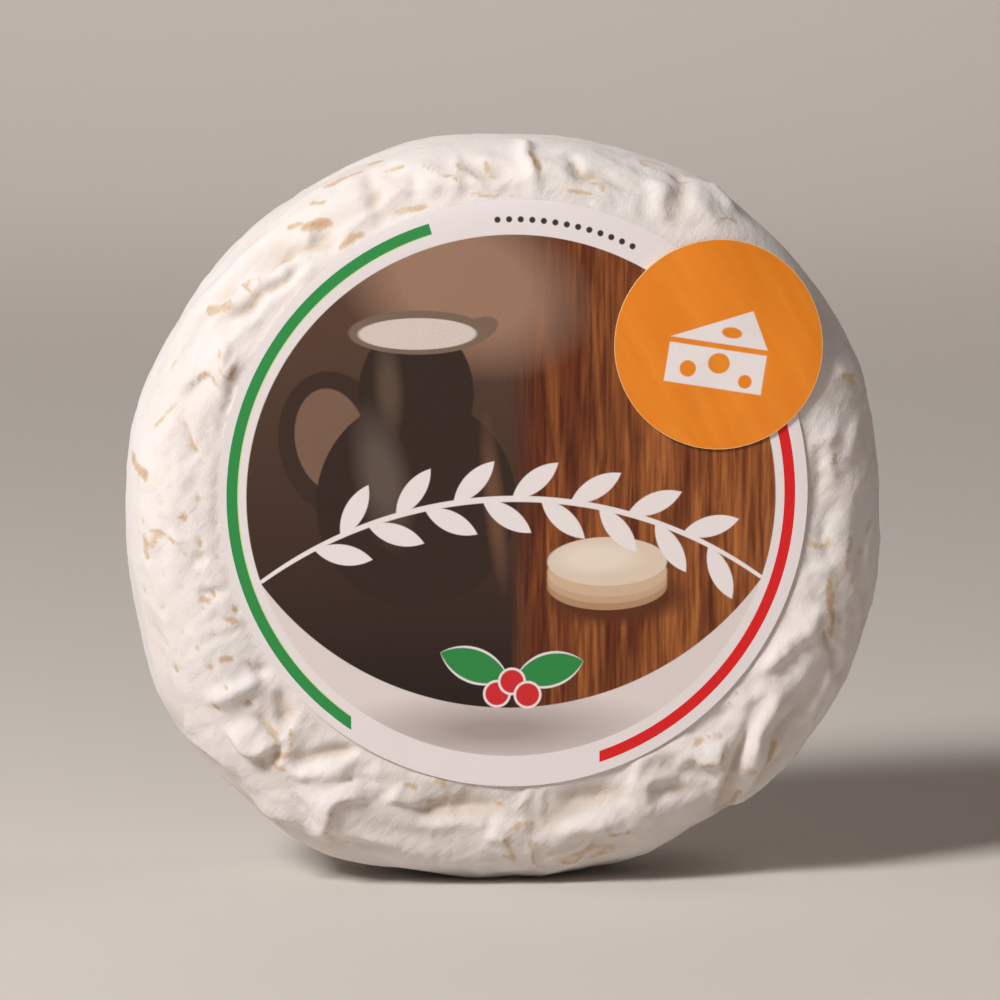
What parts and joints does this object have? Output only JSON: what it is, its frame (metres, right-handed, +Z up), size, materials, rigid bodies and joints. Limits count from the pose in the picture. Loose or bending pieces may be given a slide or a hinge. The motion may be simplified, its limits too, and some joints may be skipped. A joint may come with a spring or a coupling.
{
  "type": "camembert wheel",
  "caption": "Whole round soft cheese with a wrinkled white rind, standing on its edge, with a round paper label and a smaller round sticker on its face.",
  "frame": {"origin": "middle of the footprint, on the surface the wheel stands on", "axes": "+Z up, +X to the right as the label is seen, the label faces -Y and the wheel's axis lies along Y"},
  "size_m": [0.1127, 0.036, 0.1105],
  "materials": {
    "rind": "velvety white mould rind, matte, tan where it is rubbed and in its creases",
    "label_paper": "printed coated paper, low sheen",
    "sticker_paper": "orange printed paper, low sheen"
  },
  "bodies": {
    "root": {"cheese": "rind", "label": "label_paper", "sticker": "sticker_paper"}
  },
  "joints": []
}
